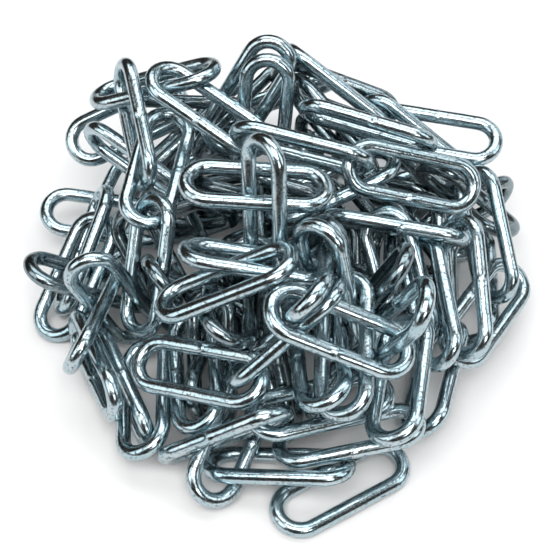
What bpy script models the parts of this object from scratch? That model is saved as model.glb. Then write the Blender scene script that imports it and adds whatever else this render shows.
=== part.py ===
"""A loose heap of long-link steel chain, bright zinc plated, 4 mm wire.

Each link is one closed oval of wire. The links that the photograph shows are placed from
readings of it: the two ends of a link, how far apart its sides look, and which end is
nearer. A model of the photograph's view turns those readings into real places, and the
links are then eased apart until each lies on its neighbours. The links hidden inside the
heap are one plain core. Units are metres, +Z up, the floor is at z = 0.
"""
import math

import bmesh
import bpy
import numpy as np
from mathutils import Matrix

MM = 0.001

# The link: long-link chain of 4 mm wire with a 32 mm pitch, all in mm
WIRE = 4.0
PITCH = 32.0
LINK_WIDTH = 16.0
BEND_RADIUS = (LINK_WIDTH - WIRE) / 2
LINK_LENGTH = PITCH + 2 * WIRE
HALF_STRAIGHT = PITCH / 2 + WIRE / 2 - BEND_RADIUS
SIDES = 8
BEND_STEPS = 5
FLAT_HEIGHT = WIRE / 2 * math.cos(math.pi / SIDES)

# The gap that touching solids keep, in mm
GAP = 0.3

# The photograph's view: a 550 pixel frame, the camera above and in front of the heap
VIEW_ELEVATION = math.radians(50)
VIEW_DISTANCE = 330.0
VIEW_FOCUS_PX = 1200.0
VIEW_CENTRE_PX = (283.0, 275.0)
TARGET_HEIGHT = 20.0

# The heap's outer form on which the links lie, in mm
HEAP_HALF_WIDTH = 64.0
HEAP_FRONT_DEPTH = 82.0
HEAP_BACK_DEPTH = 58.0
CREST_Y = 18.0
HEAP_HEIGHT = 62.0
HEAP_FULLNESS = 3.0
LAYER_STEP = 8.0

# How far before and behind the middle of the view the heap's outer form is looked for
SEARCH_DEPTH = 110.0
SEARCH_STEP = 0.5

# The core that stands for the hidden links, in mm
CORE_HALF_WIDTH = 33.0
CORE_HALF_DEPTH = 38.0
CORE_HEIGHT = 29.0
CORE_CENTRE_Y = 8.0
CORE_SEGMENTS = 20
CORE_RINGS = 12

# Readings of the photograph, one row for each link that shows.
# name: (end A x, y), (end B x, y), spread, nearer end, layer
# The ends are the link's outer tips in the 550 pixel frame. The spread is the distance in
# pixels between its two sides, and is negative where the side to the left of A to B is the
# farther one. The nearer end is 1 for B, -1 for A and 0 for neither. Layer 0 lies on the
# heap's outer form and layer 1 one link deeper.
READINGS = {
    "link_left_crest_bar": ((122, 56), (160, 184), 9, 1, 0.0),
    "link_left_crest_eye": ((172, 111), (142, 231), 48, 1, 2.5),
    "link_left_front_long": ((160, 189), (141, 346), 34, 1, 2.6),
    "link_left_front_bow": ((93, 251), (137, 348), 46, -1, 1.2),
    "link_left_front_bar": ((107, 272), (75, 370), 10, 1, -0.1),
    "link_left_edge_long": ((110, 204), (47, 353), 36, 1, 0.7),
    "link_left_edge_bar": ((111, 174), (57, 328), 9, 1, 1.2),
    "link_left_edge_eye": ((37, 210), (177, 228), -36, 0, 3.7),
    "link_crest_diagonal": ((147, 66), (272, 150), -33, 0, 1.7),
    "link_crest_hook": ((223, 67), (88, 100), 16, -1, 1.3),
    "link_left_loop": ((75, 148), (196, 98), -29, 0, 2.1),
    "link_left_loop_bar": ((80, 128), (190, 202), 12, 0, 2.7),
    "link_middle_left": ((186, 182), (326, 190), -34, 0, 1.0),
    "link_middle_arch": ((264, 134), (264, 276), 33, -1, 0.8),
    "link_middle_low": ((190, 253), (326, 266), -29, 0, 1.1),
    "link_middle_diagonal": ((295, 261), (160, 306), 30, 0, 0.5),
    "link_middle_right": ((262, 222), (406, 152), -29, 0, 3.1),
    "link_front_left_flat": ((138, 368), (264, 366), -42, 1, 0.7),
    "link_front_top": ((271, 300), (419, 348), -39, 0, -0.4),
    "link_front_dark_bar": ((318, 292), (228, 378), 18, 0, 0.6),
    "link_front_hook": ((322, 263), (294, 316), 13, 1, 0.3),
    "link_front_arch": ((332, 222), (325, 352), 41, -1, 1.4),
    "link_front_right_hook": ((423, 292), (355, 388), 12, -1, 0.4),
    "link_front_right_bow": ((338, 278), (364, 408), 40, 1, 0.5),
    "link_front_inner_bow": ((330, 290), (314, 411), 34, 1, 1.1),
    "link_back_arch": ((284, 37), (213, 154), 43, -1, 2.4),
    "link_back_inner_arch": ((271, 54), (257, 186), 43, -1, 3.4),
    "link_back_bar": ((288, 44), (386, 118), 10, 0, 2.1),
    "link_crest_right_bar": ((291, 98), (446, 143), 12, 0, 1.5),
    "link_crest_right_bow": ((371, 98), (478, 190), 25, -1, 2.7),
    "link_right_back_eye": ((362, 126), (502, 143), -35, 0, 0.8),
    "link_crest_right_long": ((336, 163), (491, 192), -48, 0, 1.0),
    "link_crest_bar": ((228, 130), (372, 165), 17, 0, 1.3),
    "link_right_hook": ((474, 176), (500, 295), 33, 1, -1.5),
    "link_right_edge_long": ((525, 253), (440, 374), -41, 1, 0.5),
    "link_right_long": ((456, 217), (460, 367), 35, 0, -0.1),
    "link_right_bar": ((321, 216), (467, 244), 9, 0, 1.9),
    "link_right_slope": ((378, 207), (414, 350), 43, 0, 2.2),
    "link_right_inner": ((434, 227), (440, 365), 29, 1, 1.0),
    "link_front_right_end": ((401, 312), (389, 447), 44, 1, 0.4),
    "link_front_right_floor": ((466, 334), (404, 430), 10, 1, 1.5),
    "link_front_floor": ((285, 503), (415, 441), -34, -1, -0.2),
    "link_front_low_eye": ((281, 460), (419, 424), -37, 0, 0.4),
    "link_front_left_floor": ((202, 463), (353, 462), -20, 0, 0.9),
    "link_front_left_bow": ((143, 336), (147, 463), 40, 1, 1.0),
    "link_front_left_bar": ((98, 334), (155, 446), 9, 1, 0.8),
    "link_left_foot": ((72, 320), (123, 414), 15, 1, 0.0),
    "link_front_left_inner": ((200, 310), (190, 434), 34, 1, 1.6),
    "link_front_low_bar": ((167, 457), (284, 411), 8, 1, 0.4),
    "link_front_foot": ((203, 495), (256, 370), 40, -1, 1.1),
    "link_front_low_long": ((248, 422), (398, 388), -35, 0, 1.2),
}

# Crossings that the photograph shows: the link on top, the link below it, and the pixel
CROSSINGS = (
    ("left_crest_bar", "crest_hook", (122, 95)),
    ("left_crest_bar", "left_loop", (133, 108)),
    ("left_crest_bar", "left_loop_bar", (157, 178)),
    ("left_crest_bar", "left_crest_eye", (146, 142)),
    ("left_crest_eye", "left_crest_bar", (141, 150)),
    ("left_crest_eye", "left_loop_bar", (133, 168)),
    ("left_loop", "left_loop_bar", (94, 122)),
    ("left_loop_bar", "left_loop", (98, 150)),
    ("crest_diagonal", "crest_hook", (187, 68)),
    ("crest_diagonal", "crest_hook", (150, 88)),
    ("crest_hook", "crest_diagonal", (196, 77)),
    ("crest_diagonal", "left_crest_eye", (186, 118)),
    ("crest_diagonal", "back_arch", (224, 96)),
    ("crest_diagonal", "back_inner_arch", (247, 115)),
    ("crest_bar", "crest_diagonal", (262, 128)),
    ("middle_arch", "crest_diagonal", (250, 152)),
    ("middle_arch", "crest_bar", (280, 148)),
    ("left_front_long", "left_crest_eye", (173, 200)),
    ("left_crest_eye", "left_front_long", (143, 214)),
    ("left_front_bow", "left_front_long", (135, 290)),
    ("left_front_long", "left_front_bow", (132, 338)),
    ("left_front_bow", "left_edge_bar", (90, 258)),
    ("left_front_bow", "left_edge_long", (92, 302)),
    ("left_front_bar", "left_front_bow", (92, 312)),
    ("left_front_bow", "left_front_bar", (92, 302)),
    ("left_front_bar", "left_edge_long", (83, 325)),
    ("left_edge_long", "left_front_bar", (76, 334)),
    ("left_edge_bar", "left_edge_long", (98, 212)),
    ("left_edge_long", "left_edge_bar", (94, 222)),
    ("left_edge_bar", "left_edge_eye", (98, 197)),
    ("left_edge_bar", "left_edge_eye", (86, 238)),
    ("left_edge_long", "left_edge_eye", (80, 238)),
    ("middle_arch", "middle_left", (249, 170)),
    ("middle_left", "middle_arch", (250, 203)),
    ("middle_arch", "middle_left", (283, 172)),
    ("middle_arch", "middle_left", (282, 203)),
    ("middle_low", "middle_arch", (250, 243)),
    ("middle_diagonal", "middle_arch", (278, 250)),
    ("middle_diagonal", "middle_low", (284, 272)),
    ("middle_low", "middle_diagonal", (237, 268)),
    ("left_front_long", "middle_diagonal", (162, 316)),
    ("middle_arch", "middle_right", (286, 184)),
    ("middle_arch", "middle_right", (282, 222)),
    ("crest_bar", "middle_right", (330, 170)),
    ("crest_right_long", "middle_right", (354, 192)),
    ("crest_right_long", "middle_right", (398, 150)),
    ("crest_bar", "crest_right_long", (346, 152)),
    ("crest_right_long", "crest_bar", (342, 166)),
    ("right_hook", "crest_right_long", (486, 186)),
    ("crest_right_long", "right_hook", (464, 206)),
    ("right_hook", "right_edge_long", (503, 252)),
    ("right_edge_long", "right_hook", (484, 280)),
    ("right_long", "right_hook", (470, 236)),
    ("right_long", "right_edge_long", (474, 290)),
    ("right_long", "right_edge_long", (460, 364)),
    ("right_bar", "right_long", (440, 235)),
    ("right_long", "right_bar", (438, 246)),
    ("right_bar", "right_slope", (366, 226)),
    ("right_bar", "right_slope", (408, 234)),
    ("right_bar", "right_inner", (435, 238)),
    ("right_inner", "right_long", (440, 356)),
    ("right_inner", "right_slope", (432, 338)),
    ("front_top", "front_arch", (350, 304)),
    ("front_top", "front_arch", (346, 344)),
    ("front_hook", "front_top", (304, 288)),
    ("front_top", "front_hook", (300, 294)),
    ("front_right_hook", "front_top", (394, 318)),
    ("front_top", "front_right_hook", (378, 354)),
    ("front_top", "front_right_bow", (338, 344)),
    ("front_top", "front_right_bow", (380, 357)),
    ("front_top", "front_dark_bar", (276, 322)),
    ("front_top", "front_right_end", (412, 360)),
    ("front_right_hook", "front_right_end", (376, 349)),
    ("front_right_bow", "front_right_end", (370, 402)),
    ("front_right_bow", "front_inner_bow", (334, 296)),
    ("front_arch", "front_inner_bow", (308, 322)),
    ("right_long", "front_right_floor", (450, 366)),
    ("right_edge_long", "front_right_floor", (440, 366)),
    ("front_left_floor", "front_floor", (329, 460)),
    ("front_dark_bar", "front_left_flat", (230, 384)),
    ("right_inner", "right_long", (446, 240)),
    ("front_top", "right_inner", (420, 352)),
    ("front_right_bow", "front_low_long", (382, 396)),
    ("front_right_end", "front_low_long", (364, 414)),
    ("front_right_end", "front_low_eye", (374, 438)),
    ("front_right_end", "front_low_eye", (408, 432)),
    ("front_low_eye", "front_left_floor", (287, 471)),
    ("front_low_eye", "front_left_floor", (285, 452)),
    ("front_low_eye", "front_floor", (345, 464)),
    ("front_low_bar", "front_foot", (196, 446)),
    ("front_low_bar", "front_foot", (244, 430)),
    ("front_low_bar", "front_low_long", (252, 424)),
    ("front_low_long", "front_low_bar", (262, 426)),
    ("front_left_floor", "front_foot", (230, 471)),
    ("front_foot", "front_left_floor", (237, 452)),
    ("front_left_flat", "front_left_inner", (178, 389)),
    ("front_left_flat", "front_left_inner", (210, 388)),
    ("front_left_flat", "front_left_bow", (162, 388)),
    ("front_left_flat", "front_foot", (252, 384)),
    ("front_dark_bar", "front_left_flat", (252, 352)),
    ("front_left_flat", "front_dark_bar", (242, 345)),
    ("front_left_bar", "front_left_bow", (127, 384)),
    ("front_left_bow", "front_left_bar", (127, 394)),
    ("front_left_bar", "left_foot", (110, 362)),
    ("left_front_long", "front_left_bar", (105, 345)),
    ("crest_right_bar", "crest_right_bow", (380, 120)),
    ("crest_right_bar", "crest_right_bow", (438, 134)),
    ("crest_right_bow", "right_back_eye", (427, 121)),
    ("right_back_eye", "crest_right_bow", (458, 152)),
    ("crest_right_long", "crest_right_bow", (462, 155)),
    ("crest_right_long", "right_back_eye", (440, 155)),
    ("crest_right_bow", "back_bar", (368, 106)),
    ("back_inner_arch", "back_arch", (296, 76)),
    ("back_inner_arch", "back_bar", (292, 60)),
    ("back_arch", "back_bar", (298, 60)),
)

# The links that the photograph does not show, at the back: place around the heap from +X
# towards +Y, distance from its middle, height, heading, slope and roll. Degrees and mm.
BACK_LINKS = {
    "link_back_floor_right": (26, 52, 2.0, 118, 0, 0),
    "link_back_slope_right": (36, 52, 12, 130, 25, 60),
    "link_back_floor_middle": (72, 56, 2.0, 168, 0, 0),
    "link_back_slope_middle": (85, 50, 22, 190, -15, 55),
    "link_back_floor_left": (118, 56, 2.0, 212, 0, 0),
    "link_back_slope_left": (135, 50, 24, 40, 25, -50),
    "link_back_left_foot": (160, 54, 8, 75, 10, 20),
}

# Links that lie flat on the floor
FLOOR_LINKS = (
    "link_front_floor",
    "link_back_floor_right",
    "link_back_floor_middle",
    "link_back_floor_left",
)

# How the links are eased apart. First only the crossings are put in order, then the links
# are cleared of each other, and last those that touch nothing are moved to their neighbours.
ORDER_ROUNDS = 200
EASE_ROUNDS = 700
SEAT_ROUNDS = 250

# The part of its drift that a link makes good in a round: across the view, along it, on
# every turn, and on its heading in the photograph besides
HOLD = 0.060
HOLD_DEPTH = 0.020
HOLD_TURN = 0.030
HOLD_HEADING = 0.050

# The press into the heap, in mm a round, and the largest step of seating, in mm
PRESS = 0.04
SEAT_STEP = 0.6

# How freely a link gives way across the view, and a floor link in any direction
SIDEWAYS = 0.3
FLOOR_FREE = 0.1

# How far a crossing may be from its reading
CROSSING_WINDOW_PX = 16.0

# Distances between centre lines in mm: links further apart than REACH are not compared
REACH = LINK_LENGTH + WIRE + 8.0
CLEAR = WIRE + GAP
TOUCH = CLEAR + 0.2
SETTLE = 0.02

# The number of pushes that a link follows in full in a round, and its ease of turning
SHARE = 1.6
TURN_EASE = 1.0 / (0.32 * LINK_LENGTH) ** 2

# Smaller than any length or angle that counts
TINY = 1e-7


def dot(a, b):
    """Dot product along the last axis, written out so that each run gives the same digits."""
    return a[..., 0] * b[..., 0] + a[..., 1] * b[..., 1] + a[..., 2] * b[..., 2]


def cross(a, b):
    """Cross product along the last axis."""
    return np.stack(
        (
            a[..., 1] * b[..., 2] - a[..., 2] * b[..., 1],
            a[..., 2] * b[..., 0] - a[..., 0] * b[..., 2],
            a[..., 0] * b[..., 1] - a[..., 1] * b[..., 0],
        ),
        axis=-1,
    )


def unit(a):
    """The vector scaled to length 1."""
    return a / np.sqrt(dot(a, a))[..., None]


def view_axes():
    """Right, up and away axes of the photograph's view."""
    right = np.array((1.0, 0.0, 0.0))
    up = np.array((0.0, math.sin(VIEW_ELEVATION), math.cos(VIEW_ELEVATION)))
    away = np.array((0.0, math.cos(VIEW_ELEVATION), -math.sin(VIEW_ELEVATION)))
    return right, up, away


def view_ray(pixel):
    """Direction through a pixel, with a length of 1 along the view's own axis."""
    right, up, away = view_axes()
    across = (pixel[0] - VIEW_CENTRE_PX[0]) / VIEW_FOCUS_PX
    rise = (VIEW_CENTRE_PX[1] - pixel[1]) / VIEW_FOCUS_PX
    return away + across * right + rise * up


def eye_point():
    """Where the photograph was taken from."""
    return np.array((0.0, 0.0, TARGET_HEIGHT)) - VIEW_DISTANCE * view_axes()[2]


def heap_surface(x, y):
    """Height of the heap's outer form above the floor."""
    depth = np.where(y < CREST_Y, HEAP_FRONT_DEPTH, HEAP_BACK_DEPTH)
    reach = np.sqrt((x / HEAP_HALF_WIDTH) ** 2 + ((y - CREST_Y) / depth) ** 2)
    height = HEAP_HEIGHT * (1 - reach**HEAP_FULLNESS)
    return np.where(y < CREST_Y, np.maximum(height, 0.0), height)


def depth_at(pixel):
    """Distance along the view at which a pixel meets the heap, or passes it most closely."""
    depths = VIEW_DISTANCE + np.arange(-SEARCH_DEPTH, SEARCH_DEPTH, SEARCH_STEP)
    points = eye_point() + depths[:, None] * view_ray(pixel)
    above = points[:, 2] - heap_surface(points[:, 0], points[:, 1])
    below = np.nonzero(above <= 0)[0]
    return depths[below[0]] if len(below) else depths[np.argmin(above)]


def place_reading(end_a, end_b, spread, nearer, layer, on_floor=False):
    """Centre and axes of a link from its reading in the photograph."""
    eye = eye_point()
    middle = (np.array(end_a) + end_b) / 2
    depth = depth_at(middle) + layer * LAYER_STEP + WIRE / 2
    if on_floor:
        ray = view_ray(middle)
        depth = (FLAT_HEIGHT - eye[2]) / ray[2]
    scale = VIEW_FOCUS_PX / depth
    inward = WIRE / 2 * scale * (np.array(end_b) - end_a) / math.dist(end_a, end_b)
    ray_a, ray_b = view_ray(end_a + inward), view_ray(end_b - inward)
    apart, together = ray_b - ray_a, ray_a + ray_b
    a2 = float(dot(together, together))
    a1 = float(2 * depth * dot(apart, together))
    a0 = float(depth**2 * dot(apart, apart)) - (LINK_LENGTH - WIRE) ** 2
    root = math.sqrt(max(a1 * a1 - 4 * a2 * a0, 0.0))
    shift = (-a1 - nearer * root) / (2 * a2)
    tip_a = eye + (depth - shift) * ray_a
    tip_b = eye + (depth + shift) * ray_b
    centre = (tip_a + tip_b) / 2
    along = unit(tip_b - tip_a)
    ray = unit(view_ray(middle))
    across = unit(cross(along, ray))
    towards = cross(along, across)
    face = min(abs(spread) / (2 * BEND_RADIUS * scale), 1.0)
    side = face * across + math.copysign(math.sqrt(1 - face**2), spread) * towards
    return centre, np.stack((along, side, cross(along, side)), axis=1)


def place_back(turn, distance, height, heading, slope, roll):
    """Centre and axes of a link at the heap's back."""
    turn, heading, slope, roll = (math.radians(v) for v in (turn, heading, slope, roll))
    centre = np.array(
        (distance * math.cos(turn), CREST_Y + distance * math.sin(turn), height)
    )
    along = np.array(
        (
            math.cos(heading) * math.cos(slope),
            math.sin(heading) * math.cos(slope),
            math.sin(slope),
        )
    )
    level = unit(cross(np.array((0.0, 0.0, 1.0)), along))
    upper = cross(along, level)
    side = math.cos(roll) * level + math.sin(roll) * upper
    return centre, np.stack((along, side, cross(along, side)), axis=1)


def link_outline():
    """Corner points of a link's centre line, in its own plane."""
    points = []
    for end in (1, -1):
        for step in range(BEND_STEPS + 1):
            angle = math.pi * step / BEND_STEPS - math.pi / 2
            points.append(
                (
                    end * (HALF_STRAIGHT + BEND_RADIUS * math.cos(angle)),
                    end * BEND_RADIUS * math.sin(angle),
                    0.0,
                )
            )
    return np.array(points)


def turned(axes, points):
    """Points in a link's own frame, turned into the heap's frame."""
    return (
        axes[:, None, :, 0] * points[None, :, 0:1]
        + axes[:, None, :, 1] * points[None, :, 1:2]
        + axes[:, None, :, 2] * points[None, :, 2:3]
    )


def nearest_points(p, u, q, v):
    """Closest points of the stretches p to p + u and q to q + v."""
    w = p - q
    uu, uv, vv = dot(u, u), dot(u, v), dot(v, v)
    uw, vw = dot(u, w), dot(v, w)
    span = uu * vv - uv * uv
    s = np.where(span > TINY, (uv * vw - vv * uw) / np.maximum(span, TINY), 0.5)
    s = np.clip(s, 0.0, 1.0)
    t = np.clip((uv * s + vw) / vv, 0.0, 1.0)
    s = np.clip((uv * t - uw) / uu, 0.0, 1.0)
    return p + s[..., None] * u, q + t[..., None] * v


def turn_axes(axes, turn):
    """Axes turned by a small rotation vector, kept square."""
    first = axes[:, :, 0] + cross(turn, axes[:, :, 0])
    second = axes[:, :, 1] + cross(turn, axes[:, :, 1])
    first = unit(first)
    second = unit(second - dot(second, first)[:, None] * first)
    return np.stack((first, second, cross(first, second)), axis=2)


def lay_flat(centre, axes, floor):
    """The floor links stay level, with their wire's flat on the floor."""
    first = axes[floor, :, 0].copy()
    first[:, 2] = 0
    first = unit(first)
    third = np.zeros_like(first)
    third[:, 2] = np.where(axes[floor, 2, 2] < 0, -1.0, 1.0)
    axes[floor] = np.stack((first, cross(third, first), third), axis=2)
    centre[floor, 2] = FLAT_HEIGHT


def contacts(centre, axes, outline):
    """Pairs of near stretches: link numbers, points and the distance between them."""
    corners = centre[:, None, :] + turned(axes, outline)
    run = np.roll(corners, -1, axis=1) - corners
    first, second = np.triu_indices(len(centre), 1)
    gap = centre[first] - centre[second]
    near = dot(gap, gap) < REACH**2
    first, second = first[near], second[near]
    p, u = corners[first][:, :, None, :], run[first][:, :, None, :]
    q, v = corners[second][:, None, :, :], run[second][:, None, :, :]
    on_first, on_second = nearest_points(p, u, q, v)
    apart = on_first - on_second
    distance = np.sqrt(dot(apart, apart))
    return first, second, on_first, on_second, distance


def along_view(vector, press):
    """A vector cut down across the view, because links give way along it more freely."""
    return SIDEWAYS * vector + (1 - SIDEWAYS) * dot(vector, press)[:, None] * press


def across_view(vector, press):
    """A turn cut down about the view, because links keep their direction in the photograph."""
    return vector - (1 - SIDEWAYS) * dot(vector, press)[:, None] * press


class Round:
    """The move and the turn that one round of easing asks of each link."""

    def __init__(self, centre, press, free):
        self.centre = centre
        self.press = press
        self.free = free
        self.move = np.zeros_like(centre)
        self.turn = np.zeros_like(centre)
        self.count = np.zeros(len(centre))

    def yielding(self, link, point, away):
        """How links move and turn under a push of 1, and how far that moves the pushed point."""
        press, free = self.press[link], self.free[link][:, None]
        lever = cross(point - self.centre[link], away)
        step = free * along_view(away, press)
        swing = free * TURN_EASE * across_view(lever, press)
        return step, swing, dot(step, away) + dot(swing, lever)

    def add(self, link, push, step, swing):
        """Adds a push to what the round asks of the links."""
        np.add.at(self.move, link, push[:, None] * step)
        np.add.at(self.turn, link, push[:, None] * swing)
        np.add.at(self.count, link, 1)

    def push_one(self, link, point, away, lack):
        """Pushes links at a point along a direction."""
        step, swing, give = self.yielding(link, point, away)
        self.add(link, lack / give, step, swing)

    def push_two(self, a, b, point_a, point_b, away, lack):
        """Pushes links a at one point along a direction, and links b at another against it."""
        step_a, swing_a, give_a = self.yielding(a, point_a, away)
        step_b, swing_b, give_b = self.yielding(b, point_b, away)
        push = lack / (give_a + give_b)
        self.add(a, push, step_a, swing_a)
        self.add(b, -push, step_b, swing_b)

    def shared(self):
        """The move and the turn, cut down for links that are pushed more than once."""
        share = (SHARE / np.maximum(self.count, SHARE))[:, None]
        return self.move * share, self.turn * share


def push_out(asked, points, depth, outward):
    """Pushes the links' corner points out of the floor or the core."""
    link, corner = np.nonzero(depth > 0)
    asked.push_one(link, points[link, corner], outward[link, corner], depth[link, corner])


def push_pairs(asked, near):
    """Pushes apart the stretches of two links that lie too close."""
    first, second, on_first, on_second, distance = near
    pair, i, j = np.nonzero(distance < CLEAR)
    point_a, point_b = on_first[pair, i, j], on_second[pair, i, j]
    away = unit(point_a - point_b + TINY)
    lack = CLEAR + SETTLE - distance[pair, i, j]
    asked.push_two(first[pair], second[pair], point_a, point_b, away, lack)


def seen_at(points):
    """Where points lie in the photograph's frame, and their distance along its view."""
    right, up, away = view_axes()
    local = points - eye_point()
    depth = dot(local, away)
    across = VIEW_CENTRE_PX[0] + VIEW_FOCUS_PX * dot(local, right) / depth
    down = VIEW_CENTRE_PX[1] - VIEW_FOCUS_PX * dot(local, up) / depth
    return np.stack((across, down), axis=-1), depth


def crossing_points(rows, corners):
    """Where the two links of a row cross in the photograph: points on both and the gap between."""
    seen, depth = seen_at(corners)
    over, under, spot = rows
    p, q = seen[over][:, :, None], seen[under][:, None]
    r = np.roll(seen, -1, axis=1)[over][:, :, None] - p
    s = np.roll(seen, -1, axis=1)[under][:, None] - q
    area = r[..., 0] * s[..., 1] - r[..., 1] * s[..., 0]
    area = np.where(np.abs(area) < TINY, TINY, area)
    d = q - p
    along_over = (d[..., 0] * s[..., 1] - d[..., 1] * s[..., 0]) / area
    along_under = (d[..., 0] * r[..., 1] - d[..., 1] * r[..., 0]) / area
    off = p + along_over[..., None] * r - spot[:, None, None]
    crosses = (along_over >= 0) & (along_over <= 1) & (along_under >= 0) & (along_under <= 1)
    crosses &= np.sqrt(off[..., 0] ** 2 + off[..., 1] ** 2) < CROSSING_WINDOW_PX
    run = np.roll(corners, -1, axis=1) - corners
    on_over = corners[over][:, :, None] + along_over[..., None] * run[over][:, :, None]
    on_under = corners[under][:, None] + along_under[..., None] * run[under][:, None]
    gap = np.where(crosses, dot(on_under - on_over, view_axes()[2]), -np.inf)
    return on_over, on_under, gap


def order_crossings(asked, rows, corners):
    """Lifts the link that the photograph shows on top at a crossing over the one below it."""
    over, under, spot = rows
    on_over, on_under, gap = crossing_points(rows, corners)
    gap = gap.reshape(len(over), -1)
    choice = gap.argmax(axis=1)
    gap = gap[np.arange(len(over)), choice]
    wrong = np.nonzero((gap > -np.inf) & (gap < CLEAR + SETTLE))[0]
    point_a = on_over.reshape(len(over), -1, 3)[wrong, choice[wrong]]
    point_b = on_under.reshape(len(over), -1, 3)[wrong, choice[wrong]]
    lack = CLEAR + SETTLE - gap[wrong]
    away = -unit(point_a - eye_point())
    asked.push_two(over[wrong], under[wrong], point_a, point_b, away, lack)


def seat_groups(near, move):
    """Moves links that touch no others, alone or as a group, towards their nearest neighbour."""
    first, second, on_first, on_second, distance = near
    flat = distance.reshape(len(first), -1)
    spot = flat.argmin(axis=1)
    pair = np.arange(len(first))
    least = flat[pair, spot]
    towards = (on_second - on_first).reshape(len(first), -1, 3)[pair, spot]
    group = np.arange(len(move))
    for a, b in zip(first[least < TOUCH], second[least < TOUCH]):
        group[group == group[a]] = group[b]
    largest = np.bincount(group).argmax()
    for number in np.unique(group):
        inside, other = group[first] == number, group[second] == number
        leaving = np.nonzero(inside != other)[0]
        if number == largest or not len(leaving):
            continue
        nearest = leaving[least[leaving].argmin()]
        step = min(least[nearest] - CLEAR, SEAT_STEP)
        sign = 1.0 if inside[nearest] else -1.0
        move[group == number] += sign * step * unit(towards[nearest])


def core_depth(points):
    """How far points lie inside the core's clearance, and the way out."""
    scale = np.array((CORE_HALF_WIDTH, CORE_HALF_DEPTH, CORE_HEIGHT)) + WIRE / 2 + GAP
    local = (points - np.array((0.0, CORE_CENTRE_Y, 0.0))) / scale
    reach = np.sqrt(dot(local, local)) + TINY
    outward = unit(local / scale)
    depth = (1 - reach) / np.sqrt(dot(local / scale, local / scale)) * reach
    return depth, outward


def ease_apart(centre, axes, press, floor, crossings):
    """Moves the links apart until no two touch, while each stays near its reading."""
    outline = link_outline()
    start_centre, start_axes = centre.copy(), axes.copy()
    free = np.ones(len(centre))
    free[floor] = FLOOR_FREE
    for step in range(ORDER_ROUNDS + EASE_ROUNDS + SEAT_ROUNDS):
        near = contacts(centre, axes, outline)
        corners = centre[:, None, :] + turned(axes, outline)
        asked = Round(centre, press, free)
        order_crossings(asked, crossings, corners)
        if step >= ORDER_ROUNDS:
            push_pairs(asked, near)
        upward = np.zeros_like(corners)
        upward[:, :, 2] = 1.0
        push_out(asked, corners, WIRE / 2 - corners[:, :, 2], upward)
        push_out(asked, corners, *core_depth(corners))
        move, turn = asked.shared()
        if step < ORDER_ROUNDS + EASE_ROUNDS:
            drift = start_centre - centre
            along = dot(drift, press)[:, None] * press
            move += HOLD * (drift - along) + HOLD_DEPTH * along + PRESS * press
            back = sum(cross(axes[:, :, axis], start_axes[:, :, axis]) for axis in range(3))
            turn += HOLD_TURN * back + HOLD_HEADING * dot(back, press)[:, None] * press
        else:
            seat_groups(near, move)
        centre += move
        axes = turn_axes(axes, turn)
        lay_flat(centre, axes, floor)
    return centre, axes


def bent_wire():
    """One link as a mesh: an eight-sided wire bent round two half turns and closed."""
    mesh = bpy.data.meshes.new("link")
    wire = bmesh.new()
    start = Matrix.Translation((HALF_STRAIGHT * MM, -BEND_RADIUS * MM, 0))
    turn = Matrix.Rotation(math.pi / 2, 4, "Y") @ Matrix.Rotation(math.pi / SIDES, 4, "Z")
    ring = bmesh.ops.create_circle(
        wire, segments=SIDES, radius=WIRE / 2 * MM, matrix=start @ turn
    )["verts"]
    first_edges = list({edge for vert in ring for edge in vert.link_edges})
    edges = first_edges
    for end in (1, -1):
        bend = bmesh.ops.spin(
            wire,
            geom=edges,
            cent=(end * HALF_STRAIGHT * MM, 0, 0),
            axis=(0, 0, 1),
            angle=math.pi,
            steps=BEND_STEPS,
            use_duplicate=False,
        )["geom_last"]
        edges = [item for item in bend if isinstance(item, bmesh.types.BMEdge)]
        if end == 1:
            side = bmesh.ops.extrude_edge_only(wire, edges=edges)["geom"]
            verts = [item for item in side if isinstance(item, bmesh.types.BMVert)]
            edges = [item for item in side if isinstance(item, bmesh.types.BMEdge)]
            edges = [edge for edge in edges if all(vert in verts for vert in edge.verts)]
            bmesh.ops.translate(wire, verts=verts, vec=(-2 * HALF_STRAIGHT * MM, 0, 0))
    bmesh.ops.bridge_loops(wire, edges=edges + first_edges)
    bmesh.ops.recalc_face_normals(wire, faces=wire.faces)
    wire.to_mesh(mesh)
    wire.free()
    return mesh


def zinc_plate():
    """Bright zinc plating on steel wire."""
    material = bpy.data.materials.new("bright_zinc_plate")
    material.use_nodes = True
    shader = material.node_tree.nodes["Principled BSDF"]
    shader.inputs["Base Color"].default_value = (0.46, 0.54, 0.56, 1)
    shader.inputs["Metallic"].default_value = 1.0
    shader.inputs["Roughness"].default_value = 0.22
    return material


def add_object(name, mesh, matrix):
    """Puts a mesh into the scene under a name."""
    thing = bpy.data.objects.new(name, mesh)
    bpy.context.scene.collection.objects.link(thing)
    thing.matrix_world = matrix
    return thing


def press_direction(name, centre):
    """The way in which a link is pressed into the heap: along the view, or inwards at the back."""
    if name in READINGS:
        return unit(centre - eye_point())
    return unit(np.array((0.0, CREST_Y, 0.0)) - centre)


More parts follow.
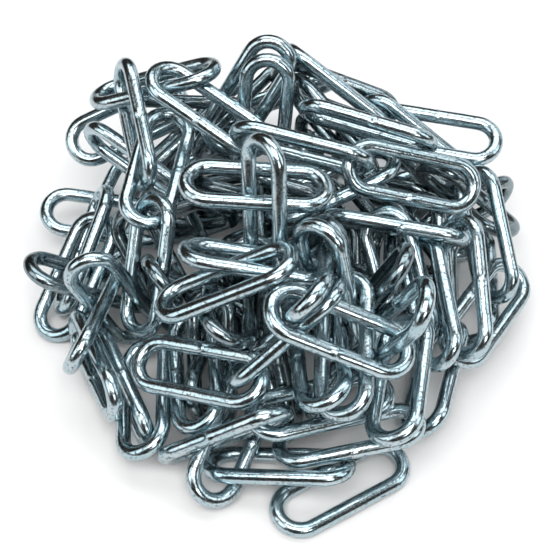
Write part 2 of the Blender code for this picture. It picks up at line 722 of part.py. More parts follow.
def add_links(material):
    """All links that are modelled one by one."""
    names = list(READINGS) + list(BACK_LINKS)
    places = [place_reading(*row, name in FLOOR_LINKS) for name, row in READINGS.items()]
    places += [place_back(*row) for row in BACK_LINKS.values()]
    centre = np.array([place[0] for place in places])
    axes = np.array([place[1] for place in places])
    press = np.array([press_direction(name, place[0]) for name, place in zip(names, places)])
    floor = np.array([names.index(name) for name in FLOOR_LINKS])
    lay_flat(centre, axes, floor)
    over = np.array([names.index("link_" + row[0]) for row in CROSSINGS])
    under = np.array([names.index("link_" + row[1]) for row in CROSSINGS])
    spot = np.array([row[2] for row in CROSSINGS], dtype=float)
    centre, axes = ease_apart(centre, axes, press, floor, (over, under, spot))
    mesh = bent_wire()
    mesh.materials.append(material)
    mesh.shade_smooth()
    shift = footprint_centre(centre, axes, mesh)
    for name, middle, frame in zip(names, centre - shift, axes):
        matrix = Matrix([[float(round(value, 6)) for value in row] for row in frame]).to_4x4()
        matrix.translation = [round(float(value), 3) * MM for value in middle]
        add_object(name, mesh, matrix)
    return shift


def footprint_centre(centre, axes, mesh):
    """Middle of the heap's box seen from above, which becomes the origin."""
    skin = np.array([tuple(vert.co) for vert in mesh.vertices]) / MM
    points = centre[:, None, :] + turned(axes, skin)
    low, high = points.min(axis=(0, 1)), points.max(axis=(0, 1))
    return np.array((low[0] + high[0], low[1] + high[1], 0.0)) / 2


def add_core(material, shift):
    """The hidden links inside the heap, as one plain low dome."""
    mesh = bpy.data.meshes.new("inner_links")
    dome = bmesh.new()
    bmesh.ops.create_uvsphere(dome, u_segments=CORE_SEGMENTS, v_segments=CORE_RINGS, radius=1.0)
    below = [vert for vert in dome.verts if vert.co.z < -TINY]
    bmesh.ops.delete(dome, geom=below, context="VERTS")
    rim = [edge for edge in dome.edges if edge.is_boundary]
    bmesh.ops.contextual_create(dome, geom=rim)
    bmesh.ops.scale(
        dome,
        verts=dome.verts,
        vec=(CORE_HALF_WIDTH * MM, CORE_HALF_DEPTH * MM, CORE_HEIGHT * MM),
    )
    bmesh.ops.recalc_face_normals(dome, faces=dome.faces)
    dome.to_mesh(mesh)
    dome.free()
    mesh.materials.append(material)
    place = (-shift[0] * MM, (CORE_CENTRE_Y - shift[1]) * MM, 0)
    add_object("inner_links", mesh, Matrix.Translation(place))


def main():
    for thing in list(bpy.data.objects):
        bpy.data.objects.remove(thing, do_unlink=True)
    material = zinc_plate()
    shift = add_links(material)
    add_core(material, shift)


main()
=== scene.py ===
"""Looks of a heap of loose long-link steel chain in bright zinc plate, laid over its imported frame.

Each visible link of the frame is replaced by a round-wire link with its weld. The plain core is
replaced by the links that lie hidden inside the heap. The floor, the lights and the camera follow.
"""

import math

import bpy
import numpy as np
from bpy.props import FloatProperty, FloatVectorProperty, IntProperty, PointerProperty
from mathutils import Matrix, Vector


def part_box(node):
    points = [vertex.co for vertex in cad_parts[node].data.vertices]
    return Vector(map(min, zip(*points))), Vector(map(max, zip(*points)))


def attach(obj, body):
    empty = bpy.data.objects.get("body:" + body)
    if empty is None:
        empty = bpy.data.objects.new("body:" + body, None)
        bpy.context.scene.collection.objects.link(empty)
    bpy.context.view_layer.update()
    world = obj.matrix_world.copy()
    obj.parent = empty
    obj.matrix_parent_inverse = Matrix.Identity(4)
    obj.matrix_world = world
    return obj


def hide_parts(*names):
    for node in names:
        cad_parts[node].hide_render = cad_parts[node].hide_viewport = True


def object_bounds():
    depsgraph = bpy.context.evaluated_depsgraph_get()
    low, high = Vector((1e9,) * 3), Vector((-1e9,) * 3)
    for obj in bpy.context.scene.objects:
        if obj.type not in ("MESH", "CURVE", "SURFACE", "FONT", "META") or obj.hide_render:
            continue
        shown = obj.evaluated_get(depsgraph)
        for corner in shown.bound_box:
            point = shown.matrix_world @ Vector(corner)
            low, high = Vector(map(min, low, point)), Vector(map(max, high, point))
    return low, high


bl_info = {
    "name": "Heap of zinc-plated chain",
    "version": (1, 0, 0),
    "blender": (4, 5, 0),
    "location": "3D View > Sidebar > Chain heap",
    "description": "Dresses the frame of a chain heap in detailed links and lights it",
    "category": "Object",
}

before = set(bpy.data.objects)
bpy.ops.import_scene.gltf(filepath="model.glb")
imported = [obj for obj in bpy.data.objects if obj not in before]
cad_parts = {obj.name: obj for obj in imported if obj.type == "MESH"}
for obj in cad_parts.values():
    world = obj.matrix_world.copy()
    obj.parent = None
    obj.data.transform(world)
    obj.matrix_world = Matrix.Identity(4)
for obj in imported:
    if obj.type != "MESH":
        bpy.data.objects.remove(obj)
CAD_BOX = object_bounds()
MM = 0.001
TINY = 1e-9
CORE_NODE = "inner_links"
OUTER_NODES = sorted(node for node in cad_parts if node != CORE_NODE)

# The photograph's view. Pixels are those of its own frame, and the elevation is in degrees. The
# camera looks at a point above the floor, a little in front of the middle of the core.
PHOTO_WIDTH_PX = 550
VIEW_CENTRE_PX = (283, 275)
VIEW_FOCUS_PX = 1200
VIEW_ELEVATION = 50
VIEW_DISTANCE = 330 * MM
TARGET_HEIGHT = 20 * MM
CORE_BEHIND_TARGET = 8 * MM

# Blender gives a sensor's width in millimetres, and the nearest thing that shows in metres.
SENSOR_WIDTH = 36
CLIP_START = 0.01

# The side of a link that carries its weld, as seen in the photograph. A link that isn't named here
# shows no weld, so its weld is turned away.
WELD_SIDES = {
    "link_left_crest_bar": "near",
    "link_crest_hook": "right",
    "link_left_front_long": "right",
    "link_crest_diagonal": "down",
    "link_middle_right": "down",
    "link_crest_right_bar": "near",
    "link_crest_right_long": "down",
    "link_right_edge_long": "left",
    "link_right_long": "right",
    "link_right_bar": "near",
    "link_front_left_flat": "up",
    "link_front_top": "down",
    "link_front_low_bar": "near",
    "link_front_left_bar": "near",
    "link_front_low_eye": "down",
}

# A link's rings of points. Those of the weld are given from its seam outwards: how far out, in
# halves of the weld's width, and how thick against the wire. The seam is a groove in a low bead.
# The last ring is merged with the first. HANDLING_DENT_SIZE is the width of the mesh's own dents.
STRAIGHT_STEPS = 9
BEND_STEPS = 14
WELD_RINGS = ((0, 0.97), (0.5, 1.045), (1, 1.035), (1.6, 1.0))
MERGE_WITHIN = 0.02 * MM
HANDLING_DENT_SIZE = 3.5 * MM

# A place is read from a solid's points to this many decimals of a metre, past which they differ
# only by their rounding.
PLACE_DECIMALS = 7

# The patterns of the plate: how wide their features are, and how deep they look. Real draw lines
# lie a few hundredths of a millimetre apart, and real pits are finer too. Both are drawn as coarse
# as they need to be to show. A draw line's slimness is its width as a share of its length.
PATCH_SIZE = 7 * MM
DENT_SIZE = 1.8 * MM
DENT_DEPTH = 0.020 * MM
PIT_SIZE = 0.7 * MM
PIT_DEPTH = 0.028 * MM
DRAW_LINE_SIZE = 0.35 * MM
DRAW_LINE_DEPTH = 0.009 * MM
DRAW_LINE_SLIMNESS = 0.06

# The noise of the pits, from 0 to 1: the values at which a pit begins and is full, and those
# between which the plate goes from its smoothest to its roughest, as shares of its roughness.
PIT_BEGINS = 0.56
PIT_FULL = 0.67
SMOOTHEST_AT = 0.35
ROUGHEST_AT = 0.7
SMOOTHEST = 0.8
ROUGHEST = 1.7

# The attribute that holds each point's place along the wire and in its section.
WIRE_PLACE = "wire_place"

# A Mix node's sockets for colours, which share their names with those for numbers.
COLOUR_A = 6
COLOUR_B = 7
MIXED_COLOUR = 2

# The inner links of which the photograph shows a part. Each row has the ends A and B in its frame,
# how far apart the sides look, the end that lies nearer (1 for B, -1 for A, 0 for neither), and how
# many mm the link lies behind the outer links round its middle. The sides' distance is below zero
# where the side on the left, going from A to B, lies farther off than the other.
INNER_READINGS = (
    ((303, 74), (374, 128), 24, 0, 9),
    ((322, 118), (316, 178), 42, -1, 10),
    ((396, 152), (474, 206), 14, 0, 10),
    ((406, 256), (350, 340), 10, -1, 8),
    ((316, 388), (350, 340), 12, -1, 8),
    ((33, 276), (120, 292), -24, 0, 6),
    ((326, 240), (320, 332), 28, -1, 5),
    ((150, 224), (235, 212), 24, 1, 8),
    ((112, 284), (199, 284), 36, 1, 9),
    ((229, 337), (229, 256), 42, -1, 10),
    ((276, 404), (272, 326), 16, 0, 12),
    ((509, 198), (440, 214), -26, 0, 14),
    ((372, 236), (384, 318), 12, 0, 14),
    ((190, 158), (291, 62), 14, 0, 10),
    ((138, 106), (226, 106), 24, 0, 8),
    ((184, 152), (246, 108), 22, 0, 10),
    ((296, 116), (372, 142), 22, 0, 8),
    ((336, 178), (426, 186), 24, 0, 12),
    ((368, 196), (412, 256), 22, 0, 10),
    ((434, 214), (424, 312), 28, 0, 12),
    ((470, 240), (448, 322), 26, 0, 10),
    ((134, 232), (172, 304), 28, 0, 8),
    ((176, 286), (252, 322), 28, 0, 9),
    ((190, 314), (204, 398), 30, 0, 8),
    ((228, 178), (290, 192), 20, 0, 12),
    ((440, 182), (500, 216), 24, 0, 8),
)

# What is tried in turn where a reading finds no room: its sides' distance times a number, so many
# mm farther back, and a lean of B towards the camera as a share of its length. A link that is read
# may drift DRIFT_PX, and its depth is taken from the outer wires within NEAR_PX of its middle.
TRY_SPREAD = (1, 0.3, -1)
TRY_BEHIND = (0, 4, -4, 8, 12)
TRY_LEAN = (0, 0.25, -0.25)
DRIFT_PX = 15
NEAR_PX = 30

# How a link is moved clear. WIRE_POINTS stand for its wire. It is pushed for CLEAR_ROUNDS at most,
# towards a gap of CLEARANCE between wires, and has room once no point of it reaches into another
# wire. Others are looked for up to NEAR_REACH past its ends, and a push turns it at TURN_ARM.
WIRE_POINTS = 64
CLEAR_ROUNDS = 90
CLEARANCE = 0.1 * MM
NEAR_REACH = 25 * MM
TURN_ARM = 12 * MM

# The links that don't show are drawn at random: the seed, the most draws, and how much is kept of
# a drawn direction's rise, because the links of a heap lie rather flat.
HIDDEN_SEED = 11
TRY_DRAWS = 60
DRAWN_RISE = 0.5

# The studio, in metres. The floor is no wider than the lights make white, and behind it the camera
# sees a white surround.
FLOOR_RADIUS = 0.75
FLOOR_SIDES = 96
FLOOR_ROUGHNESS = 0.9
SURROUND_RADIUS = 5
SURROUND_RINGS = 24

# The soft light panels: place, width and height, share of the studio's power, and colour. The
# plate mirrors them, and the brown of the dim room between them.
WHITE = "#FFFFFF"
PANELS = {
    "key_light": ((-0.07, -0.47, 1.06), (0.9, 0.55), 0.55, WHITE),
    "low_key_light": ((0.33, -0.89, 0.61), (0.35, 0.25), 0.11, WHITE),
    "left_light": ((-0.88, -0.38, 0.6), (0.7, 0.8), 0.2, "#F0F5F8"),
    "right_light": ((0.9, -0.16, 0.66), (0.5, 0.8), 0.15, "#EAF1F5"),
    "top_light": ((0.1, 0.45, 1.15), (1.5, 0.8), 0.6, "#EEF4F8"),
    "back_light": ((0.9, 0.9, 0.45), (1.0, 0.7), 0.16, "#E4EDF3"),
}
ROOM_COLOUR = "#6A5C53"
ROOM_STRENGTH = 0.22


def linear(text):
    """The linear colour, with full alpha, of an sRGB hex value."""
    parts = [int(text[i:i + 2], 16) / 255 for i in (1, 3, 5)]
    return [c / 12.92 if c <= 0.04045 else ((c + 0.055) / 1.055) ** 2.4 for c in parts] + [1.0]


class LinkSizes(bpy.types.PropertyGroup):
    """Sizes of a link, and how many links don't show"""

    wire: FloatProperty(
        name="Wire", description="Diameter of the drawn wire", default=4 * MM, min=1 * MM,
        unit="LENGTH", subtype="DISTANCE",
    )
    length: FloatProperty(
        name="Length", description="Outer length of a link", default=40 * MM, min=10 * MM,
        unit="LENGTH", subtype="DISTANCE",
    )
    width: FloatProperty(
        name="Width", description="Outer width of a link", default=16 * MM, min=5 * MM,
        unit="LENGTH", subtype="DISTANCE",
    )
    weld_width: FloatProperty(
        name="Weld", description="Width of the ring that the butt weld leaves", default=0.5 * MM,
        min=0.1 * MM, unit="LENGTH", subtype="DISTANCE",
    )
    dent: FloatProperty(
        name="Dents", description="Depth of the soft dents in the wire", default=0.04 * MM, min=0,
        unit="LENGTH", subtype="DISTANCE",
    )
    sides: IntProperty(name="Sides", description="Sides of the round wire", default=24, min=8, max=48)
    hidden: IntProperty(
        name="Hidden links", description="Links inside the heap that do not show", default=13, min=0,
        max=40,
    )


class ZincFinish(bpy.types.PropertyGroup):
    """Colours and gloss of the zinc plate"""

    plate: FloatVectorProperty(
        name="Plate", description="Bright zinc, cold and a little blue", subtype="COLOR", size=4,
        default=linear("#C5CDD0"), min=0, max=1,
    )
    tint: FloatVectorProperty(
        name="Tint", description="Where the passivated film is thicker and bluer", subtype="COLOR", size=4,
        default=linear("#95B3BC"), min=0, max=1,
    )
    soil: FloatVectorProperty(
        name="Soil", description="Dark film in the pits of the wire", subtype="COLOR", size=4,
        default=linear("#3A3330"), min=0, max=1,
    )
    speckle: FloatProperty(
        name="Speckle", description="How dark the pits are", default=0.75, min=0, max=1, subtype="FACTOR"
    )
    # Painted shade: this factor paints the inner links' plate darker for the shade that falls inside the
    # heap. Their plate is the same as that of the outer links, not duller.
    inside: FloatProperty(
        name="Inside", description="How bright the duller plate of the inner links is", default=0.55, min=0,
        max=1, subtype="FACTOR",
    )
    roughness: FloatProperty(
        name="Roughness", description="Roughness of the plate", default=0.17, min=0, max=1, subtype="FACTOR"
    )


class StudioLook(bpy.types.PropertyGroup):
    """Floor and light of the studio"""

    floor: FloatVectorProperty(
        name="Floor", description="Pale floor", subtype="COLOR", size=4, default=linear("#E8E6E5"),
        min=0, max=1,
    )
    power: FloatProperty(
        name="Light", description="Power that each soft light panel takes its share of", default=18.5,
        min=0, unit="POWER",
    )


def deselect_all():
    """Clears the selection, because operators act on all that is selected."""
    if bpy.context.object and bpy.context.object.mode != "OBJECT":
        bpy.ops.object.mode_set(mode="OBJECT")
    bpy.ops.object.select_all(action="DESELECT")


def make_active(piece):
    """Selects one object alone and makes it the active one."""
    deselect_all()
    piece.select_set(True)
    bpy.context.view_layer.objects.active = piece


def add_node(tree, kind, links=(), **settings):
    """Adds a node, sets its properties or its inputs by name, and links sockets to its inputs."""
    made = tree.nodes.new(kind)
    for name, value in settings.items():
        if hasattr(made, name):
            setattr(made, name, value)
        else:
            made.inputs[name.replace("_", " ")].default_value = value
    for name, socket in dict(links).items():
        tree.links.new(socket, made.inputs[name])
    return made


def empty_material(name):
    """A new material, and its node tree with nothing in it yet."""
    made = bpy.data.materials.new(name)
    made.use_nodes = True
    made.node_tree.nodes.clear()
    return made, made.node_tree


def zinc_plate(name, finish, painted_shade_factor):
    """Drawn steel wire under bright zinc plate: mirror streaks, broken by dents, pits and draw lines."""
    made, tree = empty_material(name)
    place = add_node(tree, "ShaderNodeTexCoord").outputs["Object"]
    wire = add_node(tree, "ShaderNodeAttribute", attribute_name=WIRE_PLACE).outputs["Vector"]
    stretched = add_node(
        tree, "ShaderNodeMapping", {"Vector": wire}, Scale=(DRAW_LINE_SLIMNESS, 1, 1)
    ).outputs["Vector"]

    # The film over the zinc is thicker in patches, and dark soil has stayed in the pits.
    patches = add_node(tree, "ShaderNodeTexNoise", {"Vector": place}, Scale=1 / PATCH_SIZE, Detail=2.0)
    colour = add_node(tree, "ShaderNodeMix", {"Factor": patches.outputs["Fac"]}, data_type="RGBA")
    # The plate and its tint are darkened by this factor: 1 on the visible links, less on the inner links as
    # painted shade inside the heap.
    colour.inputs[COLOUR_A].default_value = [c * painted_shade_factor for c in finish.plate[:3]] + [1]
    colour.inputs[COLOUR_B].default_value = [c * painted_shade_factor for c in finish.tint[:3]] + [1]
    pits = add_node(tree, "ShaderNodeTexNoise", {"Vector": place}, Scale=1 / PIT_SIZE, Detail=4.0)
    soiled = add_node(
        tree, "ShaderNodeMapRange", {"Value": pits.outputs["Fac"]}, From_Min=PIT_BEGINS,
        From_Max=PIT_FULL, To_Min=0.0, To_Max=finish.speckle,
    )
    darker = add_node(tree, "ShaderNodeMix", {"Factor": soiled.outputs["Result"]}, data_type="RGBA")
    tree.links.new(colour.outputs[MIXED_COLOUR], darker.inputs[COLOUR_A])
    darker.inputs[COLOUR_B].default_value = finish.soil

    # The relief is of soft dents from knocks, the pits, and the lines that the drawing die left.
    rough = add_node(
        tree, "ShaderNodeMapRange", {"Value": pits.outputs["Fac"]}, From_Min=SMOOTHEST_AT,
        From_Max=ROUGHEST_AT, To_Min=finish.roughness * SMOOTHEST, To_Max=finish.roughness * ROUGHEST,
    )
    dents = add_node(tree, "ShaderNodeTexNoise", {"Vector": place}, Scale=1 / DENT_SIZE, Detail=3.0)
    draw_lines = add_node(
        tree, "ShaderNodeTexNoise", {"Vector": stretched}, Scale=1 / DRAW_LINE_SIZE, Detail=2.0
    )
    bump = None
    for relief, depth in ((dents, DENT_DEPTH), (pits, PIT_DEPTH), (draw_lines, DRAW_LINE_DEPTH)):
        under = {"Normal": bump} if bump else {}
        bump = add_node(
            tree, "ShaderNodeBump", {"Height": relief.outputs["Fac"], **under}, Strength=1.0, Distance=depth
        ).outputs["Normal"]
    shader = add_node(
        tree, "ShaderNodeBsdfPrincipled",
        {"Base Color": darker.outputs[MIXED_COLOUR], "Roughness": rough.outputs["Result"], "Normal": bump},
        Metallic=1.0,
    )
    add_node(tree, "ShaderNodeOutputMaterial", {"Surface": shader.outputs["BSDF"]})
    return made


def matt_sheet(colour):
    """Matt coated sheet of the floor, which shows soft shadows and no clear reflection."""
    made, tree = empty_material("pale_floor")
    shader = add_node(tree, "ShaderNodeBsdfPrincipled", Base_Color=colour, Roughness=FLOOR_ROUGHNESS)
    add_node(tree, "ShaderNodeOutputMaterial", {"Surface": shader.outputs["BSDF"]})
    return made


def white_surround():
    """Plain white behind the floor, without shade."""
    made, tree = empty_material("white_surround")
    glow = add_node(tree, "ShaderNodeEmission", Color=linear(WHITE), Strength=1.0)
    add_node(tree, "ShaderNodeOutputMaterial", {"Surface": glow.outputs["Emission"]})
    return made


def oval(sizes):
    """The bends' radius and half the straights' length, both along the middle of the wire."""
    return (sizes.width - sizes.wire) / 2, (sizes.length - sizes.width) / 2


def extrude(length, steps=1):
    """Extrudes the wire's open end along X, in equal steps."""
    for _ in range(steps):
        bpy.ops.mesh.extrude_edges_move(TRANSFORM_OT_translate={"value": (length / steps, 0, 0)})


def thicken(ratio, middle):
    """Scales the wire's open end about its middle."""
    bpy.ops.transform.resize(value=(1, ratio, ratio), center_override=middle)


def extrude_weld(rings, bend):
    """Extrudes the wire's open end from ring to ring of the weld, each a place along X and a thickness."""
    for (start, size), (end, next_size) in zip(rings, rings[1:]):
        extrude(end - start)
        thicken(next_size / size, (end, bend, 0))


def model_link(sizes):
    """One link in the plane z = 0, long along X: a wire section swept round the oval from its weld."""
    bend, straight = oval(sizes)
    weld = [(sizes.weld_width / 2 * out, size) for out, size in WELD_RINGS]
    beside_weld = straight - weld[-1][0]
    deselect_all()
    bpy.ops.mesh.primitive_circle_add(
        vertices=sizes.sides, radius=sizes.wire / 2, fill_type="NOTHING", location=(0, bend, 0),
        rotation=(0, math.pi / 2, 0),
    )
    link = bpy.context.object
    bpy.ops.object.transform_apply(location=True, rotation=True, scale=True)
    bpy.ops.object.mode_set(mode="EDIT")
    bpy.ops.mesh.select_all(action="SELECT")
    thicken(weld[0][1], (0, bend, 0))
    extrude_weld(weld, bend)
    extrude(beside_weld, STRAIGHT_STEPS)
    bpy.ops.mesh.spin(steps=BEND_STEPS, angle=math.pi, center=(straight, 0, 0), axis=(0, 0, 1))
    extrude(-2 * straight, 2 * STRAIGHT_STEPS)
    bpy.ops.mesh.spin(steps=BEND_STEPS, angle=math.pi, center=(-straight, 0, 0), axis=(0, 0, 1))
    extrude(beside_weld, STRAIGHT_STEPS)
    extrude_weld([(-at, size) for at, size in reversed(weld)], bend)
    bpy.ops.mesh.select_all(action="SELECT")
    bpy.ops.mesh.remove_doubles(threshold=MERGE_WITHIN)
    bpy.ops.mesh.normals_make_consistent(inside=False)
    bpy.ops.object.mode_set(mode="OBJECT")
    bpy.ops.object.shade_smooth()
    mark_wire(link, sizes)
    link.name = "link_pattern"
    return link


def mark_wire(link, sizes):
    """Stores how far along the wire each point lies, and its place in the wire's section."""
    bend, straight = oval(sizes)
    points = np.zeros(len(link.data.vertices) * 3)
    link.data.vertices.foreach_get("co", points)
    x, y, z = points.reshape(-1, 3).T
    end = np.clip(x, -straight, straight)
    reach = np.hypot(x - end, y)
    turned = np.arccos(np.clip(np.abs(y) / np.maximum(reach, TINY), 0, 1))
    along = end + np.sign(end) * bend * turned
    # The unwelded side goes on far from the welded one, so that the two don't show the same lines.
    other_side = np.where(y > 0, 0, sizes.length * 2)
    place = np.stack((along + other_side, reach - bend, z), axis=1)
    marks = link.data.attributes.new(WIRE_PLACE, "FLOAT_VECTOR", "POINT")
    marks.data.foreach_set("vector", place.ravel())


def link_place(node):
    """Centre and axes (along, across, face) of a frame link, worked out from its own solid."""
    points = np.array([v.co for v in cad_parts[node].data.vertices], float)
    # The solid's triangles are loose and share their points, each of which counts once.
    points = np.unique(points.round(PLACE_DECIMALS), axis=0)
    centre = points.mean(axis=0)
    vectors = np.linalg.eigh(np.cov((points - centre).T))[1]
    along, across = vectors[:, 2], vectors[:, 1]
    axes = np.stack((along, across, np.cross(along, across)))
    return centre.round(PLACE_DECIMALS), axes.round(PLACE_DECIMALS)


def view_axes():
    """The photograph's right, up and away directions."""
    tilt = math.radians(VIEW_ELEVATION)
    return (
        np.array((1.0, 0.0, 0.0)),
        np.array((0.0, math.sin(tilt), math.cos(tilt))),
        np.array((0.0, math.cos(tilt), -math.sin(tilt))),
    )


def view_eye():
    """The photograph's camera, placed from the core, which lies behind the middle of the view."""
    low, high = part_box(CORE_NODE)
    middle = (np.array(low) + np.array(high)) / 2
    target = np.array((middle[0], middle[1] - CORE_BEHIND_TARGET, TARGET_HEIGHT))
    return target - VIEW_DISTANCE * view_axes()[2]


def weld_side(node, axes):
    """Turns the pattern's axes so that its welded limb, at +across, is on the side that shows."""
    right, up, away = view_axes()
    sides = {"left": -right, "right": right, "up": up, "down": -up, "near": -away, "far": away}
    if np.dot(axes[1], sides[WELD_SIDES.get(node, "far")]) < 0:
        axes = np.stack((-axes[0], -axes[1], axes[2]))
    return axes


def copy_link(pattern, name, centre, axes):
    """A copy of the pattern with its own mesh, laid at a place by moving its points."""
    made = bpy.data.objects.new(name, pattern.data.copy())
    bpy.context.scene.collection.objects.link(made)
    turn = Matrix([list(row) for row in axes]).transposed().to_4x4()
    made.data.transform(Matrix.Translation(Vector(centre)) @ turn)
    return made


def dent(piece, depth):
    """Dents the wire softly, in and out by the depth, after a cloud pattern in the heap's own space."""
    cloud = bpy.data.textures.get("handling_dents") or bpy.data.textures.new("handling_dents", "CLOUDS")
    cloud.noise_scale = HANDLING_DENT_SIZE
    cloud.noise_depth = 1
    make_active(piece)
    modifier = piece.modifiers.new("Dents", "DISPLACE")
    modifier.texture = cloud
    modifier.texture_coords = "LOCAL"
    modifier.strength = depth * 2
    modifier.mid_level = 0.5
    bpy.ops.object.modifier_apply(modifier=modifier.name)


def raise_to_floor(piece):
    """Lifts a piece by the little that its round wire reaches below the floor."""
    lowest = min(vert.co.z for vert in piece.data.vertices)
    piece.data.transform(Matrix.Translation((0, 0, max(-lowest, 0))))


class CHAIN_OT_links(bpy.types.Operator):
    """Replaces each visible link of the frame with a round-wire link that has its weld"""

    bl_idname = "chain.links"
    bl_label = "Visible links"

    def execute(self, context):
        sizes = context.scene.link_sizes
        material = zinc_plate("bright_zinc_plate", context.scene.zinc_finish, 1)
        pattern = model_link(sizes)
        for node in OUTER_NODES:
            centre, axes = link_place(node)
            name = node.replace("link_", "chain_link_")
            made = copy_link(pattern, name, centre, weld_side(node, axes))
            dent(made, sizes.dent)
            raise_to_floor(made)
            made.data.materials.append(material)
            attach(made, "root")
            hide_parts(node)
        bpy.data.objects.remove(pattern)
        return {"FINISHED"}


def wire_line(sizes):
    """Points along the middle of a link's wire, evenly spaced, each as its place along and across."""
    bend, straight = oval(sizes)
    around = 4 * straight + 2 * math.pi * bend
    points = []
    for step in range(WIRE_POINTS):
        half, at = divmod(around * step / WIRE_POINTS, around / 2)
        if at < 2 * straight:
            point = (at - straight, -bend)
        else:
            angle = (at - 2 * straight) / bend - math.pi / 2
            point = (straight + bend * math.cos(angle), bend * math.sin(angle))
        sign = -1 if half else 1
        points.append((sign * point[0], sign * point[1]))
    return np.array(points)


def wires(places, line):
    """The wire lines of links at their places, each a centre and axes, as points in the heap's frame."""
    centres, axes = (np.array(values) for values in zip(*places))
    points = centres[:, None] + line[:, 0:1] * axes[:, None, 0] + line[:, 1:2] * axes[:, None, 1]
    return points.reshape(-1, 3)


def unit(vector):
    """A direction of length one."""
    return vector / np.sqrt((vector ** 2).sum())


def square_axes(along, across):
    """Unit axes of a link from its rough directions."""
    along = unit(along)
    across = unit(across - (across * along).sum() * along)
    return np.stack((along, across, np.cross(along, across)))


def seen_at(points):
    """Where points lie in the photograph's frame, and their distance along its view."""
    right, up, away = view_axes()
    local = points - view_eye()
    depth = (local * away).sum(axis=-1)
    across = VIEW_CENTRE_PX[0] + VIEW_FOCUS_PX * (local * right).sum(axis=-1) / depth
    down = VIEW_CENTRE_PX[1] - VIEW_FOCUS_PX * (local * up).sum(axis=-1) / depth
    return np.stack((across, down), axis=-1), depth


def read_place(reading, wider, deeper, lean, seen, depth, sizes):
    """Centre and axes of an inner link from its reading, changed as tried, behind the wires seen there."""
    end_a, end_b, spread, nearer, behind = reading
    spread = spread * wider
    middle = (np.array(end_a) + end_b) / 2
    near = ((seen - middle) ** 2).sum(axis=1) < NEAR_PX ** 2
    distance = depth[near].mean() + (behind + deeper) * MM
    scale = distance / VIEW_FOCUS_PX
    right, up, away = view_axes()
    offset = (middle - VIEW_CENTRE_PX) / VIEW_FOCUS_PX
    ray = away + offset[0] * right - offset[1] * up
    run = (np.array(end_b) - end_a) * scale
    rise = math.sqrt(max(sizes.length ** 2 - (run ** 2).sum(), 0))
    along = unit(run[0] * right - run[1] * up - (nearer * rise + lean * sizes.length) * away)
    level = unit(np.cross(along, ray))
    face = min(abs(spread) * scale / (sizes.width - sizes.wire), 1)
    tipped = math.copysign(math.sqrt(1 - face ** 2), spread)
    across = face * level + tipped * np.cross(along, level)
    return view_eye() + distance * ray, square_axes(along, across)


def read_tries(reading, seen, depth, sizes):
    """The places that are tried in turn for an inner link, the one that was read first."""
    for wider in TRY_SPREAD:
        for deeper in TRY_BEHIND:
            for lean in TRY_LEAN:
                yield read_place(reading, wider, deeper, lean, seen, depth, sizes)


def drawn_place(draw):
    """A seeded place and turn in the dome over the core's foot, for a link that doesn't show."""
    low, high = (np.array(corner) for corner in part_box(CORE_NODE))
    middle, half = (low + high) / 2, (high - low) / 2
    middle[2], half[2] = low[2], high[2] - low[2]
    while True:
        spot = draw.uniform((-1, -1, 0), 1)
        if (spot ** 2).sum() < 1:
            break
    along = draw.normal(size=3) * (1, 1, DRAWN_RISE)
    across = np.cross(along, draw.normal(size=3))
    return middle + spot * half, square_axes(along, across)


def settle(centre, axes, others, sizes):
    """Moves a link clear of other wires and into the heap's box, or gives None where it finds no room."""
    line, room = wire_line(sizes), sizes.wire + CLEARANCE
    low, high = np.array(CAD_BOX[0]) + room / 2, np.array(CAD_BOX[1]) - room / 2
    others = others[((others - centre) ** 2).sum(axis=1) < (sizes.length / 2 + NEAR_REACH) ** 2]
    for _ in range(CLEAR_ROUNDS):
        points = wires([(centre, axes)], line)
        square = sum((points[:, None, k] - others[None, :, k]) ** 2 for k in range(3))
        mine, theirs = np.nonzero(square < room ** 2)
        distance = np.sqrt(square[mine, theirs]) + TINY
        inward = np.maximum(low - points, 0) - np.maximum(points - high, 0)
        beyond = np.sqrt((inward ** 2).sum(axis=1))
        out = np.nonzero(beyond)[0]
        push = np.append(room - distance, beyond[out])
        if not len(push) or push.max() < CLEARANCE:
            return centre, axes
        from_wires = (points[mine] - others[theirs]) / distance[:, None]
        away = np.concatenate((from_wires, inward[out] / beyond[out, None]))
        arm = points[np.append(mine, out)] - centre
        # The more pushes there are, the less each moves the link, or it would be thrown past its room.
        step = (push[:, None] + CLEARANCE) / ((len(push) + 1) / 2)
        centre = centre + (away * step).sum(axis=0)
        turn = (np.cross(arm, away) * step).sum(axis=0) / TURN_ARM ** 2
        axes = square_axes(axes[0] + np.cross(turn, axes[0]), axes[1] + np.cross(turn, axes[1]))
    return None


def first_with_room(tries, drift, others, sizes):
    """A list that holds the first try to find room within a drift in pixels, or nothing."""
    for wanted, axes in tries:
        place = settle(wanted, axes, others, sizes)
        if place:
            moved = seen_at(place[0])[0] - seen_at(wanted)[0]
            if (moved ** 2).sum() < drift ** 2:
                return [place]
    return []


def inner_places(outer, sizes):
    """Places for all inner links, each moved clear of the outer links and of those before it."""
    line = wire_line(sizes)
    seen, depth = seen_at(wires(outer, line))
    places = list(outer)
    for reading in INNER_READINGS:
        tries = read_tries(reading, seen, depth, sizes)
        places += first_with_room(tries, DRIFT_PX, wires(places, line), sizes)
    draw = np.random.RandomState(HIDDEN_SEED)
    wanted = len(places) + sizes.hidden
    for _ in range(TRY_DRAWS):
        if len(places) == wanted:
            break
        places += first_with_room([drawn_place(draw)], math.inf, wires(places, line), sizes)
    return places[len(outer):]


